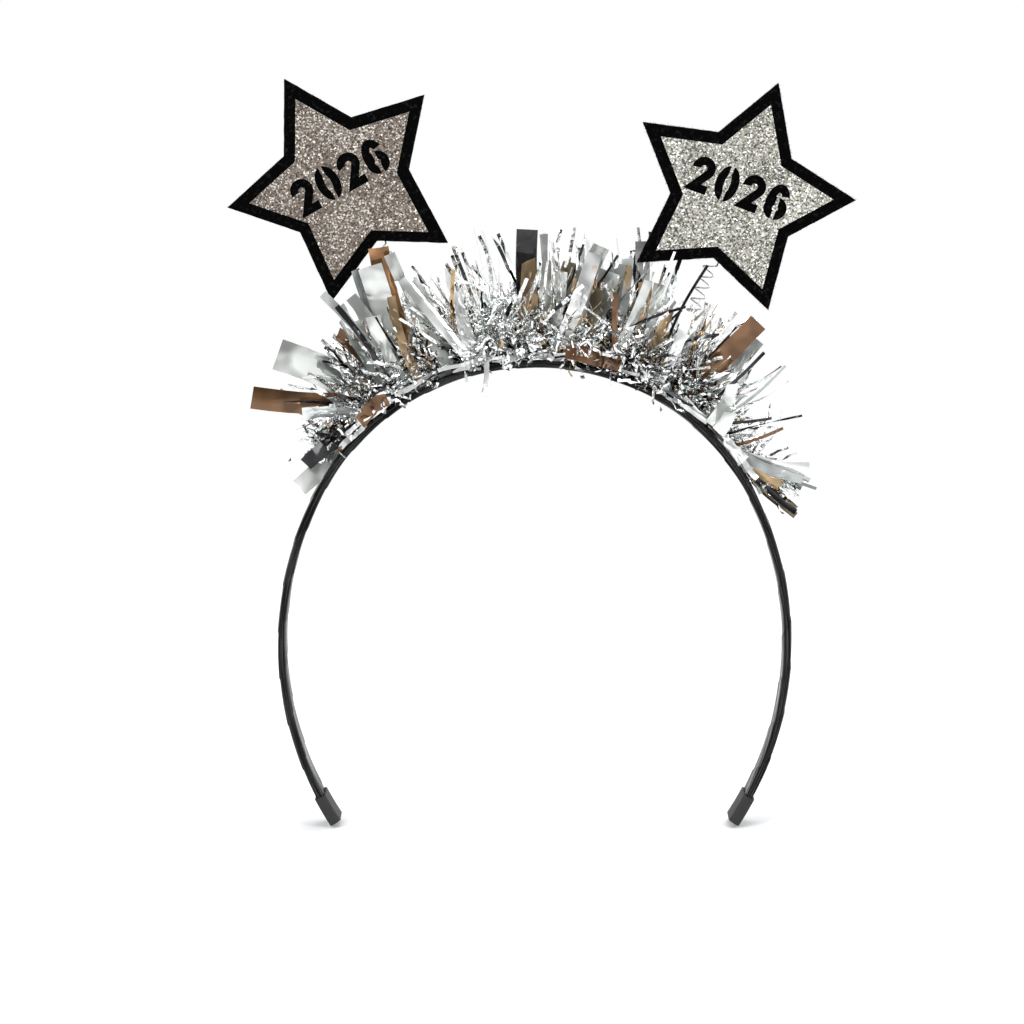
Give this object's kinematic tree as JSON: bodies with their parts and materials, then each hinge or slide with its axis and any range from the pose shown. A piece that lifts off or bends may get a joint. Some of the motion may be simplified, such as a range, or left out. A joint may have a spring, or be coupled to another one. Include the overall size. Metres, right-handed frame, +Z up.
{
  "type": "new year head bopper",
  "caption": "Party headband with a silver foil garland and glittered felt stars that bob on coil springs.",
  "frame": {"origin": "centre of the arc that the band makes over the crown of the head", "axes": "+Z up through the middle of the crown, -Y the front that carries the glitter cards, +X to the viewer's right as the front is seen; names with left and right are the viewer's"},
  "size_m": [0.1948, 0.048, 0.2362],
  "materials": {
    "band_plastic": "moulded black plastic strip",
    "ribbon": "black satin ribbon, wound in overlapping turns",
    "tip_cover": "soft black tip sleeve",
    "foil_film": "mirror-bright metallised film cut into crinkled strands and wide strips",
    "spring_wire": "bright drawn wire",
    "hot_glue": "cloudy hot-melt glue",
    "felt": "black craft felt",
    "star_glue": "flat layer of craft glue",
    "glitter_card": "silver glitter card with stencil cut-outs"
  },
  "bodies": {
    "band": {"band_crown": "band_plastic", "ribbon_crown": "ribbon", "garland_core": "spring_wire", "garland_glue": "hot_glue", "garland_left": "foil_film", "garland_crown_left": "foil_film", "garland_crown_right": "foil_film", "garland_right": "foil_film", "left_foot_glue": "hot_glue", "left_spring_foot": "spring_wire", "right_foot_glue": "hot_glue", "right_spring_foot": "spring_wire"},
    "left_leg": {"left_band_leg": "band_plastic", "left_ribbon_leg": "ribbon", "left_tip_cover": "tip_cover"},
    "left_lower_coils": {"left_spring_lower": "spring_wire"},
    "left_middle_coils": {"left_spring_middle": "spring_wire"},
    "left_upper_coils": {"left_spring_upper": "spring_wire"},
    "left_star": {"left_spring_top": "spring_wire", "left_star_back": "felt", "left_star_glue": "star_glue", "left_star_front": "felt", "left_glitter_card": "glitter_card"},
    "right_leg": {"right_band_leg": "band_plastic", "right_ribbon_leg": "ribbon", "right_tip_cover": "tip_cover"},
    "right_lower_coils": {"right_spring_lower": "spring_wire"},
    "right_middle_coils": {"right_spring_middle": "spring_wire"},
    "right_upper_coils": {"right_spring_upper": "spring_wire"},
    "right_star": {"right_spring_top": "spring_wire", "right_star_back": "felt", "right_star_glue": "star_glue", "right_star_front": "felt", "right_glitter_card": "glitter_card"}
  },
  "joints": [
    {"name": "left_leg_flex", "type": "hinge", "parent": "band", "child": "left_leg", "pos_m": [-0.06737, 0, 0.03582], "axis": [0, 1, 0], "range_deg": [-8, 12], "stiffness_Nm_per_rad": 0.2},
    {"name": "left_star_sway", "type": "hinge", "parent": "band", "child": "left_lower_coils", "pos_m": [-0.03017, 0, 0.07985], "axis": [0, 1, 0], "range_deg": [-25, 25], "stiffness_Nm_per_rad": 0.012, "springref_deg": 4.35, "deforming": ["left_spring_foot", "left_spring_lower"]},
    {"name": "left_star_nod", "type": "hinge", "parent": "left_lower_coils", "child": "left_middle_coils", "pos_m": [-0.03336, 0, 0.08664], "axis": [0.8695, 0, 0.4939], "range_deg": [-30, 30], "stiffness_Nm_per_rad": 0.012},
    {"name": "left_star_bounce", "type": "slide", "parent": "left_middle_coils", "child": "left_upper_coils", "axis": [-0.4939, 0, 0.8695], "range_m": [-0.008, 0.01], "stiffness_N_per_m": 400, "deforming": ["left_spring_middle", "left_spring_upper"]},
    {"name": "left_star_twist", "type": "hinge", "parent": "left_upper_coils", "child": "left_star", "pos_m": [-0.04634, 0, 0.10949], "axis": [-0.4939, 0, 0.8695], "range_deg": [-90, 90], "stiffness_Nm_per_rad": 0.004, "deforming": ["left_spring_top"]},
    {"name": "right_leg_flex", "type": "hinge", "parent": "band", "child": "right_leg", "pos_m": [0.06737, 0, 0.03582], "axis": [0, -1, 0], "range_deg": [-8, 12], "stiffness_Nm_per_rad": 0.2},
    {"name": "right_star_sway", "type": "hinge", "parent": "band", "child": "right_lower_coils", "pos_m": [0.04199, 0, 0.07392], "axis": [0, 1, 0], "range_deg": [-25, 25], "stiffness_Nm_per_rad": 0.012, "springref_deg": -3.06, "deforming": ["right_spring_foot", "right_spring_lower"]},
    {"name": "right_star_nod", "type": "hinge", "parent": "right_lower_coils", "child": "right_middle_coils", "pos_m": [0.04499, 0, 0.08042], "axis": [0.9397, 0, -0.342], "range_deg": [-30, 30], "stiffness_Nm_per_rad": 0.012},
    {"name": "right_star_bounce", "type": "slide", "parent": "right_middle_coils", "child": "right_upper_coils", "axis": [0.342, 0, 0.9397], "range_m": [-0.008, 0.01], "stiffness_N_per_m": 400, "deforming": ["right_spring_middle", "right_spring_upper"]},
    {"name": "right_star_twist", "type": "hinge", "parent": "right_upper_coils", "child": "right_star", "pos_m": [0.05356, 0, 0.10396], "axis": [0.342, 0, 0.9397], "range_deg": [-90, 90], "stiffness_Nm_per_rad": 0.004, "deforming": ["right_spring_top"]}
  ]
}
